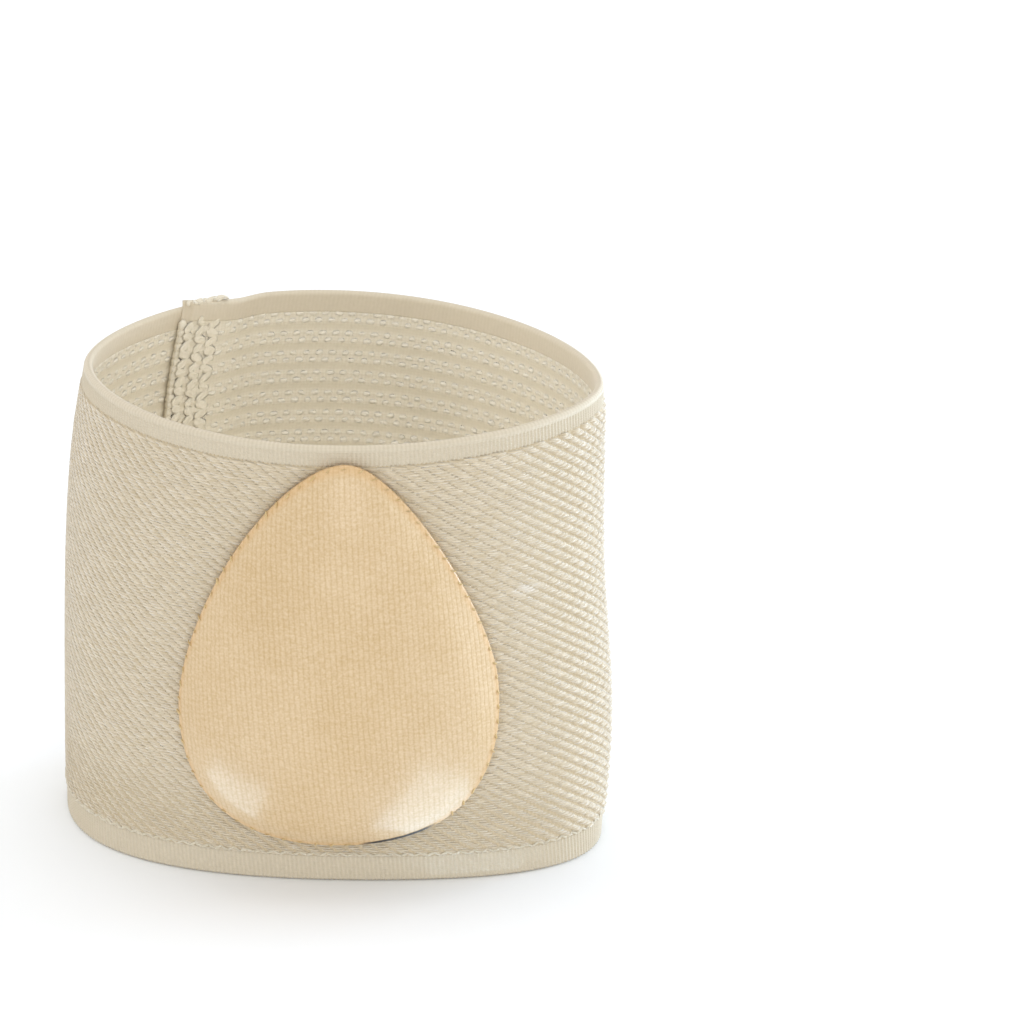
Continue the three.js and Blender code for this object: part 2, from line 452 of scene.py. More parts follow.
# The twill ribs
# Soft yarns float over the ground of the web in short bows along the strip. Each bow starts a little lower
# than the one before it, so that they line up in ribs that run down to the right all round the outer face.
# The ribs lie flat where the pad holds the web taut, and stand out in beads on the right.
RIB_PITCH = 1.75 * MM  # up the web
RIB_SLOPE = math.radians(37)
TWILL_ROWS = 4  # rows of floats to a rib
FLOAT_LENGTH = 2.3 * MM
FLOAT_WIDTH = 0.54 * MM
FLOAT_HEIGHT = 0.4 * MM
FLOAT_OUT = -0.36 * MM
FLOAT_LEAN = math.radians(-7)
FLOAT_LOW = 4.7 * MM
FLOAT_HIGH = 71.5 * MM
FLOAT_START = 1.2 * MM  # from each end of the strip's outer face
BOLD_RISE = 0.06 * MM  # how much further out the ribs on the right stand
BEAD_COLUMNS = 3  # floats to a bead of a rib on the right, the first of them sunk
BEAD_SINK = 0.12 * MM
FLAT_SLOPE = math.radians(34)  # of the ribs on the right, where the web is drawn out
DRAWN_OUT = (24 * MM, 46 * MM)
HINGE_BEND = 6 * MM
SPARE_ROWS = 2  # rows below the web, which the flatter slope brings up into it

# How far from the front line the ribs change, or how far up. Each change starts and ends at these distances.
LOOSE_RIGHT = (24 * MM, 38 * MM)
LOOSE_LEFT = (27 * MM, 43 * MM)
LOOSE_BACK = (80 * MM, 105 * MM)
THIN_BELOW = (9 * MM, 19 * MM)
BOLD_FROM = (28 * MM, 42 * MM)
BOLD_TO = (95 * MM, 110 * MM)

# A paler patch on the yarn to the right of the pad, as (along, height, half length, half height), in
# millimetres
PALE_PATCH = (GIRTH / MM + 28.0, 48.0, 2.8, 1.1)


def strand_helper(name, sides, rings, arch, blunt):
    """A short bow of yarn along X, one unit long, wide and high. It has a map of its own, along and round."""
    points, faces, corners = [], [], []
    ats = [math.sin(math.pi / 2 * (2 * i / (rings - 1) - 1)) for i in range(rings)]
    for at in ats:
        swell = max(blunt, (1 - abs(at) ** 4) ** 0.5)
        for side in range(sides):
            turn = math.tau * side / sides
            lift = -arch * at ** 4
            points.append((at / 2, 0.5 * swell * math.cos(turn), lift + 0.5 * swell * math.sin(turn)))
    for ring in range(rings - 1):
        for side in range(sides):
            after = (side + 1) % sides
            faces.append([ring * sides + side, ring * sides + after,
                          (ring + 1) * sides + after, (ring + 1) * sides + side])
            low, high = (ats[ring] + 1) / 2, (ats[ring + 1] + 1) / 2
            corners += [(low, side / sides), (low, (side + 1) / sides),
                        (high, (side + 1) / sides), (high, side / sides)]
    faces.append(list(range(sides))[::-1])
    faces.append(list(range((rings - 1) * sides, rings * sides)))
    corners += [(0.0, 0.5)] * sides + [(1.0, 0.5)] * sides
    data = bpy.data.meshes.new(name)
    data.from_pydata(points, [], faces)
    data.uv_layers.new(name="strand").data.foreach_set("uv", np.array(corners).ravel())
    return helper(name, data)


def chance(start, low, high, seed):
    sockets = {2: low, 3: high, 8: seed}
    return start.node("FunctionNodeRandomValue", {"data_type": "FLOAT"}, sockets, 1)


def lay_strands(start, points, count, angle, length, width, height, sway):
    """Ends a tree: puts a strand on each flat point, turned by angle, and lays them all round the tube."""
    seed = start.of("Seed")
    loose = start.of("Loose")
    index = start.node("GeometryNodeInputIndex")
    for name, value in (("shade", chance(start, 0.0, 1.0, seed)), ("seat", index)):
        named = {"Geometry": points, "Name": name, "Value": value}
        points = start.node("GeometryNodeStoreNamedAttribute", {"data_type": "FLOAT"}, named)
    lean = start.node("GeometryNodeInputNamedAttribute", {}, {"Name": "lean"})
    turn = angle + lean + chance(start, -1.0, 1.0, seed + 1.0) * sway
    size = start.joined(
        length * (1 + chance(start, -1.0, 1.0, seed + 2.0) * loose),
        width * (1 + chance(start, -1.0, 1.0, seed + 3.0) * loose),
        height * (1 + chance(start, -1.0, 1.0, seed + 4.0) * loose),
    )
    strand = start.node("GeometryNodeObjectInfo", {}, {"Object": start.of("Strand")}, "Geometry")
    sockets = {"Points": points, "Instance": strand, "Rotation": start.joined(0.0, 0.0, turn), "Scale": size}
    laid = start.node("GeometryNodeInstanceOnPoints", {}, sockets)
    real = start.node("GeometryNodeRealizeInstances", {}, {"Geometry": laid})
    across = count.math("SQRT").math("CEIL")
    seat = start.node("GeometryNodeInputNamedAttribute", {}, {"Name": "seat"})
    own = start.node("GeometryNodeInputNamedAttribute", {"data_type": "FLOAT_VECTOR"}, {"Name": "strand"})
    u, v, _ = own.parts()
    cell_row = ((seat + 0.5) / across).math("FLOOR")
    cell = start.joined(
        (seat - cell_row * across + 0.05 + u * 0.9) / across, (cell_row + 0.05 + v * 0.9) / across, 0.0
    )
    named = {"Geometry": real, "Name": "OFBake", "Value": cell}
    mapped = start.node("GeometryNodeStoreNamedAttribute", {"data_type": "FLOAT2", "domain": "CORNER"}, named)
    return end_tree(lay_round_tube(mapped, start.of("Material")))


STRAND_INPUTS = {
    "Geometry": "Geometry", "Strand": "Object", "Length": "Float", "Width": "Float", "Height": "Float",
    "Sway": "Float", "Loose": "Float", "Seed": "Int", "Material": "Material",
}


def from_front(along):
    """The distance from the front line, above 0 on the right and below 0 on the left."""
    return along - (along / GIRTH).math("ROUND") * GIRTH


def hinge(value, place):
    """0 before a place along the strip, and then the distance past it, with a soft bend between."""
    past = value - place
    return (past + (past * past + HINGE_BEND ** 2).math("SQRT")) * 0.5


def rows_tree():
    """Strands in columns along the strip and rows up it, each column shifted up by its share of a turn."""
    sizes = {
        **STRAND_INPUTS, "Cover": "Object", "Cover reach": "Float", "First column": "Int", "Columns": "Int",
        "Column step": "Float", "Rows": "Int", "Row step": "Float", "Turn": "Float", "Spread": "Float",
        "Start": "Float", "Low": "Float", "High": "Float", "Out": "Float", "Angle": "Float",
        "Zigzag": "Float", "Taut": "Float", "Bold": "Float", "Flatten": "Float", "Foot": "Float",
    }
    start = new_tree("strands_in_rows", sizes)
    rows, count = start.of("Rows"), start.of("Columns") * start.of("Rows")
    index = start.node("GeometryNodeInputIndex")
    column = (index / rows).math("FLOOR")
    row = index - column * rows
    column = column + start.of("First column")
    along = start.of("Start") + (column + 0.5) * start.of("Column step")
    shift = (column * start.of("Turn")).math("FRACT") * start.of("Spread")
    out = start.of("Out") - lap_step(along - LAP_START)
    wrapped = from_front(along)
    height = start.of("Low") + row * start.of("Row step") + shift
    rise = hinge(wrapped, DRAWN_OUT[0]) - hinge(wrapped, DRAWN_OUT[1])
    seat = start.joined(along, height + start.of("Flatten") * rise, out)
    points = start.node("GeometryNodePoints", {}, {"Count": count, "Position": seat})
    odd = ((row + column) * 0.5).math("FRACT") > 0.25
    lean = {"Geometry": points, "Name": "lean", "Value": start.of("Zigzag") * (1 - 2 * odd)}
    points = start.node("GeometryNodeStoreNamedAttribute", {"data_type": "FLOAT"}, lean)
    rib = row + (column / TWILL_ROWS).math("CEIL")
    first = ((column + rib * (BEAD_COLUMNS / 2) + 0.1) / BEAD_COLUMNS).math("FRACT") < 0.3
    named = {"Geometry": points, "Name": "sunk", "Value": first}
    points = start.node("GeometryNodeStoreNamedAttribute", {"data_type": "FLOAT"}, named)
    place = start.node("GeometryNodeInputPosition")
    along, height, _ = place.parts()
    foot = bent(place)
    out_way = bent(place.vector("ADD", (0, 0, MM))).vector("SUBTRACT", foot)
    cover = start.node("GeometryNodeObjectInfo", {}, {"Object": start.of("Cover")}, "Geometry")
    ray = {"Target Geometry": cover, "Source Position": foot, "Ray Direction": out_way,
           "Ray Length": start.of("Cover reach")}
    hidden = start.node("GeometryNodeRaycast", {}, ray, "Is Hit")
    outside = (height > start.of("High")) + (height < start.of("Foot"))
    drop = {"Geometry": points, "Selection": hidden + outside}
    left = start.node("GeometryNodeDeleteGeometry", {"domain": "POINT"}, drop)
    wrapped = from_front(along)
    to_right = wrapped.eased(*LOOSE_RIGHT)
    to_left = (0.0 - wrapped).eased(*LOOSE_LEFT)
    to_back = wrapped.math("ABSOLUTE").eased(*LOOSE_BACK)
    taut = start.of("Taut") * (1 - to_right - to_left * (0.25 + 0.75 * to_back))
    thin = taut * (1 - height.eased(*THIN_BELOW))
    bold = start.of("Bold") * wrapped.eased(*BOLD_FROM) * (1 - wrapped.eased(*BOLD_TO))
    sunk = start.node("GeometryNodeInputNamedAttribute", {}, {"Name": "sunk"})
    proud = {"Geometry": left, "Offset": start.joined(0.0, 0.0, bold * (BOLD_RISE - sunk * BEAD_SINK))}
    return lay_strands(
        start, start.node("GeometryNodeSetPosition", {}, proud), count, start.of("Angle"),
        start.of("Length") * (1 + 0.28 * (taut - thin)),
        start.of("Width") * (1 + 0.18 * taut - 0.4 * thin) * (1 + 0.32 * bold),
        start.of("Height") * (1 - 0.4 * (taut - thin) + bold * (1 - 0.4 * sunk)),
        start.of("Sway") + 0.04 * taut,
    )


STRANDS_IN_ROWS = rows_tree()


def yarn_material(name, dark, light, sheen, twist, pale_patch=None):
    """Soft spun yarn: fine filaments that wind round each strand, and strands of slightly different shades.
    The last argument, when given, is a paler patch, as (along, height, half length, half height) in
    millimetres."""
    material, shader, start = new_cloth(name, 0.82, sheen)
    own = start.node("ShaderNodeAttribute", {"attribute_name": "strand"}, {}, "Vector")
    u, v, _ = own.parts()
    shade = start.node("ShaderNodeAttribute", {"attribute_name": "shade"}, {}, "Fac")
    place = flat_place(start)
    wound = start.joined(u * 2.4 + shade * 37.0, v * 8.0 + u * twist, shade * 11.0)
    filaments = cloudy(start, wound, 1.0, 1.0).eased(0.3, 0.7)
    fleck = cloudy(start, place, 2.6, 3.0)
    share = shade * 0.25 + filaments * 0.45 + fleck * 0.4 - 0.05
    colour = blend(start, share, paint(dark), paint(light))
    if pale_patch:
        along, height, _ = place.parts()
        off = ((along - pale_patch[0]) / pale_patch[2]) ** 2.0 + ((height - pale_patch[1]) / pale_patch[3]) ** 2.0
        colour = blend(start, (1 - (off + fleck).eased(0.3, 1.8)) * 0.45, colour, paint("#ebe5da"))
    feed(shader, "Base Color", colour)
    bumped(start, shader, filaments, 0.08 * MM)
    return material


float_strand = strand_helper("float_strand", 5, 5, 0.7, 0.65)
float_yarn = yarn_material("float_yarn", "#c1af8e", "#e1d4bc", 0.75, 1.6, PALE_PATCH)
column_step = RIB_PITCH / TWILL_ROWS / math.tan(RIB_SLOPE)
column_count = int((GIRTH - 2 * FLOAT_START) / column_step)
for number, name in enumerate(("ribs_left", "ribs_front", "ribs_right", "ribs_back")):
    first = column_count * number // 4
    count = column_count * (number + 1) // 4 - first
    piece = made_by(STRANDS_IN_ROWS, name, {
        "Strand": float_strand, "Length": FLOAT_LENGTH, "Width": FLOAT_WIDTH, "Height": FLOAT_HEIGHT,
        "Sway": math.radians(3), "Loose": 0.08, "Seed": 11 + first, "Material": float_yarn,
        "Cover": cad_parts["arch_pad"], "Cover reach": 6 * MM, "First column": first,
        "Columns": count, "Column step": column_step,
        "Rows": int((FLOAT_HIGH - FLOAT_LOW) / RIB_PITCH) + SPARE_ROWS + 1,
        "Row step": RIB_PITCH, "Turn": -1 / TWILL_ROWS, "Spread": RIB_PITCH,
        "Start": LAP_START + FLOAT_START, "Low": FLOAT_LOW - SPARE_ROWS * RIB_PITCH, "Foot": FLOAT_LOW,
        "High": FLOAT_HIGH, "Out": FLOAT_OUT, "Flatten": math.tan(RIB_SLOPE) - math.tan(FLAT_SLOPE),
        "Angle": FLOAT_LEAN, "Taut": 1.0, "Bold": 1.2,
    })
    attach(piece, "root")
    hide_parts("elastic_web")


# The pips
# Inside, the weft shows as small pale pips, in staggered rows along the pairs of cords of the inner face.
# They are low and half sunk in the cords.
PIP_STEP = 2.2 * MM  # along a row
PIP_LENGTH = 1.25 * MM
PIP_WIDTH = 0.95 * MM
PIP_HEIGHT = 0.2 * MM
PIP_SINK = 0.07 * MM

pip_strand = strand_helper("pip_strand", 5, 5, 0.3, 0.3)
pip_yarn = yarn_material("pip_yarn", "#e6decb", "#f1ebde", 0.2, 0.5)
pips = made_by(STRANDS_IN_ROWS, "pips", {
    "Strand": pip_strand, "Length": PIP_LENGTH, "Width": PIP_WIDTH, "Height": PIP_HEIGHT,
    "Sway": math.radians(10), "Loose": 0.15, "Seed": 5, "Material": pip_yarn,
    "Columns": int((GIRTH - LAP_LENGTH) / PIP_STEP * 2), "Column step": PIP_STEP / 2,
    "Rows": int((STRIP_WIDTH - CORD_FOOT) / CORD_PITCH), "Row step": CORD_PITCH, "Turn": 0.5,
    "Spread": 2 * CORD_GAP, "Start": LAP_START + LAP_LENGTH + 0.5 * MM,
    "Low": CORD_FOOT + CORD_PITCH / 2 - CORD_GAP / 2, "High": FLOAT_HIGH, "Out": WEB_INNER + PIP_SINK,
})
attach(pips, "root")
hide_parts("elastic_web")


# The woven edges
# The strip's two edges are woven flat and close, thinner than the ribbed part, with fine ribs that stand
# upright. The top one ends in a smooth rounded rim, and the sleeve stands on the bottom one.
EDGE_OUTER = -0.4 * MM
EDGE_INNER = -1.77 * MM
EDGE_RIB_PITCH = 0.69 * MM
EDGE_RIB_DEPTH = 0.2 * MM
EDGE_STEPS_TO_RIB = 6
EDGE_ROWS = 17
EDGE_PICK_PITCH = 0.42  # millimetres
LOOP_STEP = 1.05 * MM  # of the loops that show along the bottom edge


def edge_material():
    material, shader, start = new_cloth("edge_weave", 0.88, 0.3)
    place = flat_place(start)
    along, height, out = place.parts()
    outside = out.eased(*MID_WALL)
    rib = (along * (math.tau / (EDGE_RIB_PITCH / MM))).math("COSINE") * 0.5 + 0.5
    picks = (height * (math.tau / EDGE_PICK_PITCH)).math("SINE") * outside * 0.5 + 0.5
    grain = cloudy(start, place, 1.6)
    shade = (rib - 0.5) * (0.15 + 0.35 * outside) + picks * 0.1 + grain * 0.6 + 0.15
    feed(shader, "Base Color", blend(start, shade, paint("#c7bba3"), paint("#d7ccb8")))
    bumped(start, shader, picks * 0.5 + grain * 0.5, 0.08 * MM)
    return material


def edge_rows(low, high, smooth_from, round_low, round_high):
    """An edge's profile, ribbed up to a height and smooth above it, with its two tips rounded."""
    rows = []
    for height in np.linspace(low, high, EDGE_ROWS):
        near_low = max(0.0, 1 - (height - low) / round_low)
        near_high = max(0.0, 1 - (high - height) / round_high)
        inset = 1 - (1 - max(near_low, near_high) ** 2) ** 0.5
        middle = (EDGE_OUTER + EDGE_INNER) / 2
        outer = EDGE_OUTER + (middle - EDGE_OUTER) * inset
        inner = EDGE_INNER + (middle - EDGE_INNER) * inset
        rows.append((height, outer, inner, float(height < smooth_from) * (1 - inset)))
    return rows


edge_weave = edge_material()
edge_steps = int(STRIP_LENGTH / EDGE_RIB_PITCH) * EDGE_STEPS_TO_RIB
for name, node, low, high, smooth_from, round_low, round_high in (
    ("top_edge_weave", "top_edge", 71.4 * MM, 75.0 * MM, 74.1 * MM, 0.15 * MM, 0.7 * MM),
    ("bottom_edge_weave", "bottom_edge", 0.0, 4.7 * MM, 4.7 * MM, 0.3 * MM, 0.15 * MM),
):
    rows = edge_rows(low, high, smooth_from, round_low, round_high)
    piece = strip_piece(name, rows, edge_steps, edge_weave, EDGE_RIB_PITCH, EDGE_RIB_DEPTH)
    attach(piece, "root")
    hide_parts(node)

loop_strand = strand_helper("loop_strand", 5, 4, 0.5, 0.65)
loop_yarn = yarn_material("loop_yarn", "#d2c7ad", "#e6ddca", 0.3, 1.0)
loops = made_by(STRANDS_IN_ROWS, "edge_loops", {
    "Strand": loop_strand, "Length": 1.5 * MM, "Width": 0.42 * MM, "Height": 0.42 * MM,
    "Sway": math.radians(8), "Loose": 0.15, "Seed": 3, "Material": loop_yarn,
    "Columns": int(GIRTH / LOOP_STEP) - 2, "Column step": LOOP_STEP, "Rows": 1, "Row step": MM,
    "Start": LAP_START + FLOAT_START, "Low": 4.85 * MM, "High": WEB_HIGH, "Out": -0.3 * MM,
    "Zigzag": math.radians(24),
})
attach(loops, "root")
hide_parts("elastic_web")


# The lap's stitches
# Soft thread is overcast round the strip's two raw ends and sews them down on each other: a braid-like band
# inside, a column of stitches round each end, and a few loose loops on the stub that stands above the rim.
LAP_STITCHES = (
    {
        "Name": "lap_braid", "Columns": 3, "Column step": 2.3 * MM, "Rows": 48, "Row step": 1.5 * MM,
        "Start": LAP_START + GIRTH + 0.4 * MM, "Low": 1.4 * MM, "Out": WEB_INNER + 0.06 * MM,
        "Length": 2.4 * MM, "Width": 1.75 * MM, "Height": 0.16 * MM, "Loose": 0.15,
        "Zigzag": math.radians(30),
    },
    {
        "Name": "lap_end_stitches", "Columns": 1, "Column step": 0.2 * MM, "Rows": 60, "Row step": 1.2 * MM,
        "Start": LAP_START + STRIP_LENGTH - 0.1 * MM, "Low": 1.6 * MM, "Out": -1.15 * MM,
        "Length": 1.2 * MM, "Width": 1.9 * MM, "Height": 1.2 * MM, "Loose": 0.06,
    },
    {
        "Name": "lap_outer_stitches", "Columns": 1, "Column step": 0.2 * MM, "Rows": 52,
        "Row step": 1.42 * MM, "Start": LAP_START, "Low": 0.9 * MM, "Out": -0.7 * MM,
        "Length": 2.6 * MM, "Width": 0.8 * MM, "Height": 0.6 * MM, "Loose": 0.12,
    },
    {
        "Name": "stub_loops", "Columns": 8, "Column step": 0.95 * MM, "Rows": 1, "Row step": MM,
        "Start": LAP_START + GIRTH - 0.6 * MM, "Low": 75.9 * MM, "Out": -1.1 * MM,
        "Length": 1.3 * MM, "Width": 0.8 * MM, "Height": 1.1 * MM, "Loose": 0.4,
        "Zigzag": math.radians(20),
    },
)

lap_strand = strand_helper("lap_strand", 6, 5, 0.35, 0.45)
lap_thread = yarn_material("lap_thread", "#dad1bb", "#e8e0cf", 0.2, 1.0)
for sizes in LAP_STITCHES:
    piece = made_by(STRANDS_IN_ROWS, sizes["Name"], {
        **sizes, "Strand": lap_strand, "Sway": math.radians(8), "Seed": 21, "Material": lap_thread,
        "Turn": 0.5, "Spread": sizes["Row step"] * min(sizes["Rows"] - 1, 1), "High": 77 * MM,
    })
    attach(piece, "root")
    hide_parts("elastic_web")


# The arch pad
# An egg-shaped dome of soft gel in a fine tan knit, with a low gloss, sewn to the web at its rim. Its outline
# is given by its lowest, right, top and left points, as (along, height, fullness), in millimetres.
PAD_OUTLINE = np.array(((-5.9, 7.0, 0.94), (21.7, 34.1, 0.31), (0.1, 72.6, 0.37), (-28.6, 28.0, 0.33)))
PAD_MIDDLE = np.array((-3.5, 33.0)) * MM
PAD_CROWN = 5.4 * MM  # before it swells
PAD_RIM = 0.8 * MM
PAD_FLATNESS = 2.4
PAD_ROUNDNESS = 0.85
PAD_BACK = 0.3 * MM
PAD_SECTORS = 144
PAD_BACK_REACHES = (0.0, 0.25, 0.5, 0.75, 0.9, 0.97)  # shares of the way out to the rim
PAD_BACK_RINGS = len(PAD_BACK_REACHES) - 1
PAD_RINGS = 26
QUARTER_STEPS = 200  # along each quarter of the outline
STITCH_COUNT = 72  # round the rim
PAD_GAP_SHADE_RINGS = (4, 8)  # the rings on which the gap's shade is painted dark, from the last one of the back
WALE_PITCH = 0.79  # millimetres
GAP_SHADE_SPAN = (-2.4 * MM, 11.2 * MM)  # where along the lower rim a narrow gap shows, as a dark line of painted shade, and the rim is not sewn
GAP_SHADE_TOP = 14 * MM


def outline_points(pins, count):
    """Points at even steps along the closed loop through four pins."""
    found = []
    for i, way in enumerate(PIN_WAYS):
        start, end = pins[i], pins[(i + 1) % 4]
        span = end[:2] - start[:2]
        next_way = PIN_WAYS[(i + 1) % 4]
        first = start[:2] + way * start[2] * span.dot(way)
        second = end[:2] - next_way * end[2] * span.dot(next_way)
        for t in np.arange(0, 1, 1 / QUARTER_STEPS):
            found.append(start[:2] * (1 - t) ** 3 + first * 3 * t * (1 - t) ** 2
                         + second * 3 * t * t * (1 - t) + end[:2] * t ** 3)
    found = np.array(found + found[:1])
    steps = np.linalg.norm(np.diff(found, axis=0), axis=1)
    reached = np.concatenate(([0], np.cumsum(steps)))
    wanted = np.arange(count) / count * reached[-1]
    return np.stack([np.interp(wanted, reached, found[:, k]) for k in (0, 1)], 1)


def pad_material():
    material, shader, start = new_cloth("pad_knit", 0.6, 0.03)
    shader.inputs["Coat Roughness"].default_value = 0.22
    place = flat_place(start)
    along, height, _ = place.parts()
    turn = along / WALE_PITCH + cloudy(start, place, 0.3) * 0.4
    wale = turn.math("FLOOR")
    rib = 1 - ((turn - wale - 0.5).math("ABSOLUTE") * 2) ** 3
    stitch = cloudy(start, start.joined(wale * 7.3, height * 2.0, wale * 3.1), 1.0, 1.0).eased(0.3, 0.7)
    grain = cloudy(start, place, 2.8).eased(0.3, 0.7)
    patches = cloudy(start, place, 0.09, 1.0).eased(0.3, 0.7)
    tone = patches * 0.15 + stitch * 0.18 + grain * 0.37 + rib * 0.3
    knit = blend(start, tone, paint("#bf9f6d"), paint("#dcc4a0"))
    rim = start.node("ShaderNodeAttribute", {"attribute_name": "rim"}, {}, "Fac")
    # Painted shade: a dark line along the lower rim, with no coat, stands for the shadow in a narrow gap
    # under the pad's edge.
    gap = start.node("ShaderNodeAttribute", {"attribute_name": "gap"}, {}, "Fac")
    edged = blend(start, rim.eased(0.95, 0.99) * 0.35, knit, paint("#d3a466"))
    feed(shader, "Base Color", blend(start, gap.eased(0.3, 0.8), edged, paint("#3c342c")))
    feed(shader, "Coat Weight", 0.42 - gap.eased(0.0, 0.4) * 0.42)
    bumped(start, shader, rib * 0.7 + stitch * 0.3, 0.06 * MM)
    return material


def pad_flat():
    """The pad laid flat, from the middle of its back, round its rim, to its crown."""
    rim = outline_points(PAD_OUTLINE, PAD_SECTORS) * MM
    front = np.sin(np.linspace(math.pi / 2, 0, PAD_RINGS))[1:]
    rings = [(reach, PAD_BACK) for reach in PAD_BACK_REACHES]
    rings.append((1.0, PAD_BACK + PAD_RIM / 2))
    for reach in front[:-1]:
        dome = (1 - reach ** PAD_FLATNESS) ** PAD_ROUNDNESS
        rings.append((reach, PAD_BACK + PAD_RIM + (PAD_CROWN - PAD_RIM) * dome))
    rings.append((0.0, PAD_BACK + PAD_CROWN))
    points, faces, rims, gaps = [], [], [], []
    for number, (reach, out) in enumerate(rings[1:-1]):
        for x, y in PAD_MIDDLE + (rim - PAD_MIDDLE) * reach:
            points.append((x, y, out))
            # Marks the points of the lower rim where the dark shade of the gap is painted.
            share = (x - GAP_SHADE_SPAN[0]) / (GAP_SHADE_SPAN[1] - GAP_SHADE_SPAN[0])
            in_gap_shade = 0 < share < 1 and y < GAP_SHADE_TOP and PAD_GAP_SHADE_RINGS[0] <= number <= PAD_GAP_SHADE_RINGS[1]
            gaps.append(math.sin(math.pi * share) ** 0.5 if in_gap_shade else 0.0)
            rims.append(reach)
    first, last = len(points), len(points) + 1
    points += [(*PAD_MIDDLE, rings[0][1]), (*PAD_MIDDLE, rings[-1][1])]
    for ring in range(len(rings) - 3):
        for sector in range(PAD_SECTORS):
            after = (sector + 1) % PAD_SECTORS
            low, high = ring * PAD_SECTORS, (ring + 1) * PAD_SECTORS
            faces.append((low + sector, high + sector, high + after, low + after)[::-1])
    top = (len(rings) - 3) * PAD_SECTORS
    for sector in range(PAD_SECTORS):
        after = (sector + 1) % PAD_SECTORS
        faces.append((first, after, sector))
        faces.append((last, top + sector, top + after))
    data = bpy.data.meshes.new("pad_flat")
    data.from_pydata(points, [], faces)
    for name, values in (("rim", rims), ("gap", gaps)):
        data.attributes.new(name, "FLOAT", "POINT").data.foreach_set("value", values + [0.0, 0.0])
    return helper("pad_flat", data)


def lay_tree():
    """Bends one flat piece round the tube as it is."""
    start = new_tree("lay_piece", {"Geometry": "Geometry", "Piece": "Object", "Material": "Material"})
    flat = start.node("GeometryNodeObjectInfo", {}, {"Object": start.of("Piece")}, "Geometry")
    return end_tree(lay_round_tube(flat, start.of("Material")))


LAY_PIECE = lay_tree()
pad = made_by(LAY_PIECE, "pad", {"Piece": pad_flat(), "Material": pad_material()})

# The gel presses the cover out like cloth. It is done at ten times the size, that of a cushion, at which the
# cloth's usual values hold, and the cover is held at its back and at every stitch of its rim.
PAD_TIMES = 10
PAD_PRESSURE = 4.0
PAD_FRAMES = 20
PAD_SWELL = 0.15 * MM  # the most that the cover may move


def press_out(piece, held):
    """Lets pressure swell a closed piece that is held at some of its points, and keeps the shape it takes."""
    stage = bpy.context.scene
    rest = np.empty(len(piece.data.vertices) * 3)
    piece.data.vertices.foreach_get("co", rest)
    trial = bpy.data.objects.new("pad_trial", piece.data.copy())
    trial.data.vertices.foreach_set("co", rest * PAD_TIMES)
    stage.collection.objects.link(trial)
    trial.vertex_groups.new(name="held").add(held, 1.0, "REPLACE")
    cover = trial.modifiers.new("cover", "CLOTH")
    cover.settings.use_pressure = True
    cover.settings.uniform_pressure_force = PAD_PRESSURE
    cover.settings.effector_weights.gravity = 0
    cover.settings.vertex_group_mass = "held"
    cover.point_cache.frame_start = 1
    cover.point_cache.frame_end = PAD_FRAMES
    for number in range(1, PAD_FRAMES + 1):
        stage.frame_set(number)
    pressed = np.empty(len(rest))
    trial.evaluated_get(bpy.context.evaluated_depsgraph_get()).data.vertices.foreach_get("co", pressed)
    stage.frame_set(1)
    bpy.data.objects.remove(trial)
    ways = np.empty(len(rest))
    piece.data.vertex_normals.foreach_get("vector", ways)
    ways = ways.reshape(-1, 3)
    swell = ((pressed / PAD_TIMES - rest).reshape(-1, 3) * ways).sum(1)
    swell = np.clip(swell, -PAD_SWELL, PAD_SWELL)
    piece.data.vertices.foreach_set("co", rest + (ways * swell[:, None]).ravel())
    piece.data.update()


back_points = PAD_BACK_RINGS * PAD_SECTORS
sewn_points = range(back_points, back_points + PAD_SECTORS, PAD_SECTORS // STITCH_COUNT)
press_out(pad, [*range(back_points), *sewn_points, len(pad.data.vertices) - 2])
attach(pad, "root")
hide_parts("arch_pad")


def marks_tree():
    """A strand on each point of a flat helper, turned by the angle that the point keeps."""
    start = new_tree("strands_on_marks", {**STRAND_INPUTS, "Marks": "Object", "Mark count": "Int"})
    marks = start.node("GeometryNodeObjectInfo", {}, {"Object": start.of("Marks")}, "Geometry")
    points = start.node("GeometryNodeMeshToPoints", {}, {"Mesh": marks})
    sizes = [start.of(name) for name in ("Length", "Width", "Height", "Sway")]
    return lay_strands(start, points, start.of("Mark count"), 0.0, *sizes)


STRANDS_ON_MARKS = marks_tree()


def marked(name, places, leans):
    """A helper with a flat point at each place, which keeps the angle of its strand."""
    data = bpy.data.meshes.new(name)
    data.from_pydata([tuple(place) for place in places], [], [])
    data.attributes.new("lean", "FLOAT", "POINT").data.foreach_set("value", leans)
    return {"Marks": helper(name, data), "Mark count": len(data.vertices)}


STITCH_REACH = 0.985  # of the way from the pad's middle to its rim
STITCH_OUT = 1.25 * MM
STITCH_LEAN = math.radians(35)  # from the line of the rim


def stitch_marks():
    """A flat point for each stitch along the pad's rim, but for the stretch where dark shade is painted under
    it, with the angle of the stitch.
    """
    rim = outline_points(PAD_OUTLINE, STITCH_COUNT) * MM
    ahead = np.roll(rim, -1, 0) - np.roll(rim, 1, 0)
    leans = np.arctan2(ahead[:, 1], ahead[:, 0]) + STITCH_LEAN
    places = PAD_MIDDLE + (rim - PAD_MIDDLE) * STITCH_REACH
    along, height = places.T
    sewn = (along < GAP_SHADE_SPAN[0]) | (along > GAP_SHADE_SPAN[1]) | (height > GAP_SHADE_TOP)
    return marked("stitch_marks", [(x, y, STITCH_OUT) for x, y in places[sewn]], leans[sewn])


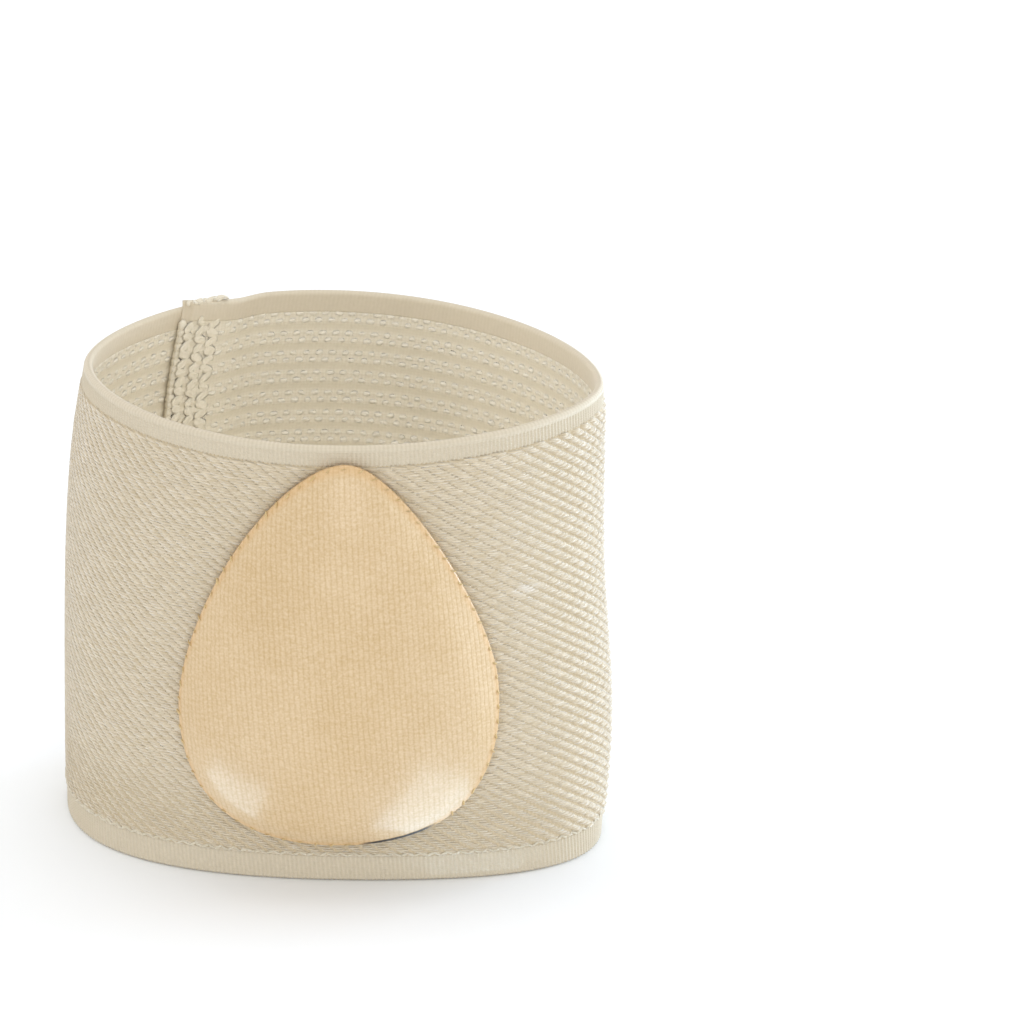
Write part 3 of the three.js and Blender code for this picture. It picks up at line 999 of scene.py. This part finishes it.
rim_stitches = made_by(STRANDS_ON_MARKS, "rim_stitches", {
    "Strand": float_strand, "Length": 1.1 * MM, "Width": 0.32 * MM, "Height": 0.36 * MM,
    "Sway": math.radians(24), "Loose": 0.4, "Seed": 8,
    "Material": yarn_material("rim_thread", "#c6a66c", "#e4cc9c", 0.1, 1.0), **stitch_marks(),
})
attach(rim_stitches, "root")
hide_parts("arch_pad")


# The view, the light and the floor
# A plain white table in soft light, seen from a little above the front, with the main light from the right.
CAMERA_TARGET = ((26.5 + TO_MIDDLE[0]) * MM, TO_MIDDLE[1] * MM, 50 * MM)
CAMERA_RISE = math.radians(24)
CAMERA_DISTANCE = 1.0
CAMERA_LENS = 223.24  # millimetres
CAMERA_SENSOR = 36
ROOM_LIGHT = 0.93
FLOOR_SIZE = 6.0

for made in helpers:
    bpy.data.objects.remove(made)

scene = bpy.context.scene
scene.view_settings.view_transform = "Standard"
camera_data = bpy.data.cameras.new("camera")
camera_data.lens = CAMERA_LENS
camera_data.sensor_width = CAMERA_SENSOR
camera = bpy.data.objects.new("camera", camera_data)
camera.location = (
    CAMERA_TARGET[0],
    CAMERA_TARGET[1] - CAMERA_DISTANCE * math.cos(CAMERA_RISE),
    CAMERA_TARGET[2] + CAMERA_DISTANCE * math.sin(CAMERA_RISE),
)
camera.rotation_euler = (math.pi / 2 - CAMERA_RISE, 0, 0)
scene.collection.objects.link(camera)
scene.camera = camera

world = bpy.data.worlds.new("studio")
world.use_nodes = True
world.node_tree.nodes["Background"].inputs["Color"].default_value = (1.0, 1.0, 1.0, 1.0)
world.node_tree.nodes["Background"].inputs["Strength"].default_value = ROOM_LIGHT
scene.world = world


def soft_light(name, place, aim, size, power, colour=(1.0, 1.0, 1.0)):
    data = bpy.data.lights.new(name, "AREA")
    data.color = colour
    data.shape = "RECTANGLE"
    data.size, data.size_y = size
    data.energy = power
    light = bpy.data.objects.new(name, data)
    light.location = place
    light.rotation_euler = (Vector(aim) - Vector(place)).to_track_quat("-Z", "Y").to_euler()
    light.visible_camera = False
    scene.collection.objects.link(light)
    return light


COOL = (0.5, 0.75, 1.0)
PALE_BLUE = (0.62, 0.78, 1.0)
soft_light("top_light", (0.0, 0.12, 0.9), (0, 0, 0.04), (0.35, 0.35), 1.4)
soft_light("front_light", (0.1, -0.9, 0.15), (0, 0, 0.04), (0.5, 0.3), 1.3)
soft_light("right_light", (0.62, 0.24, 0.07), (0, 0, 0.04), (0.3, 0.12), 4.3, PALE_BLUE)
soft_light("left_light", (-0.62, 0.2, 0.07), (0, 0, 0.04), (0.3, 0.12), 0.5)

# Two cool panels low in front, which only show as a soft gloss on the pad's lower shoulders
for name, place, size, turn, power in (
    ("left_gloss", (-0.031, -0.036, 0.001), (0.026, 0.014), 10, 0.0071),
    ("right_gloss", (0.025, -0.037, 0.001), (0.028, 0.024), 44, 0.0155),
):
    gloss = soft_light(name, place, (place[0], place[1], 1.0), size, power, COOL)
    gloss.rotation_euler.rotate_axis("Z", math.radians(turn))
    gloss.visible_diffuse = False

# Two soft panels behind the front wall, which light the inside of the back as a pale room would
for name, place, aim, power in (
    ("inside_left_light", (-0.004, -0.008, 0.057), (-0.042, 0.01, 0.046), 0.0049),
    ("inside_right_light", (0.008, -0.008, 0.057), (0.044, 0.01, 0.046), 0.0041),
):
    panel = soft_light(name, place, aim, (0.026, 0.03), power)
    panel.visible_glossy = False

floor_data = bpy.data.meshes.new("floor")
half_floor = FLOOR_SIZE / 2
floor_data.from_pydata(
    [(-half_floor, -half_floor, 0), (half_floor, -half_floor, 0), (half_floor, half_floor, 0),
     (-half_floor, half_floor, 0)], [], [(0, 1, 2, 3)],
)
floor = bpy.data.objects.new("floor", floor_data)
scene.collection.objects.link(floor)
floor_paint = bpy.data.materials.new("white_table")
floor_paint.use_nodes = True
floor_shader = floor_paint.node_tree.nodes["Principled BSDF"]
floor_shader.inputs["Base Color"].default_value = (0.93, 0.95, 0.97, 1.0)
floor_shader.inputs["Roughness"].default_value = 0.9
floor_data.materials.append(floor_paint)
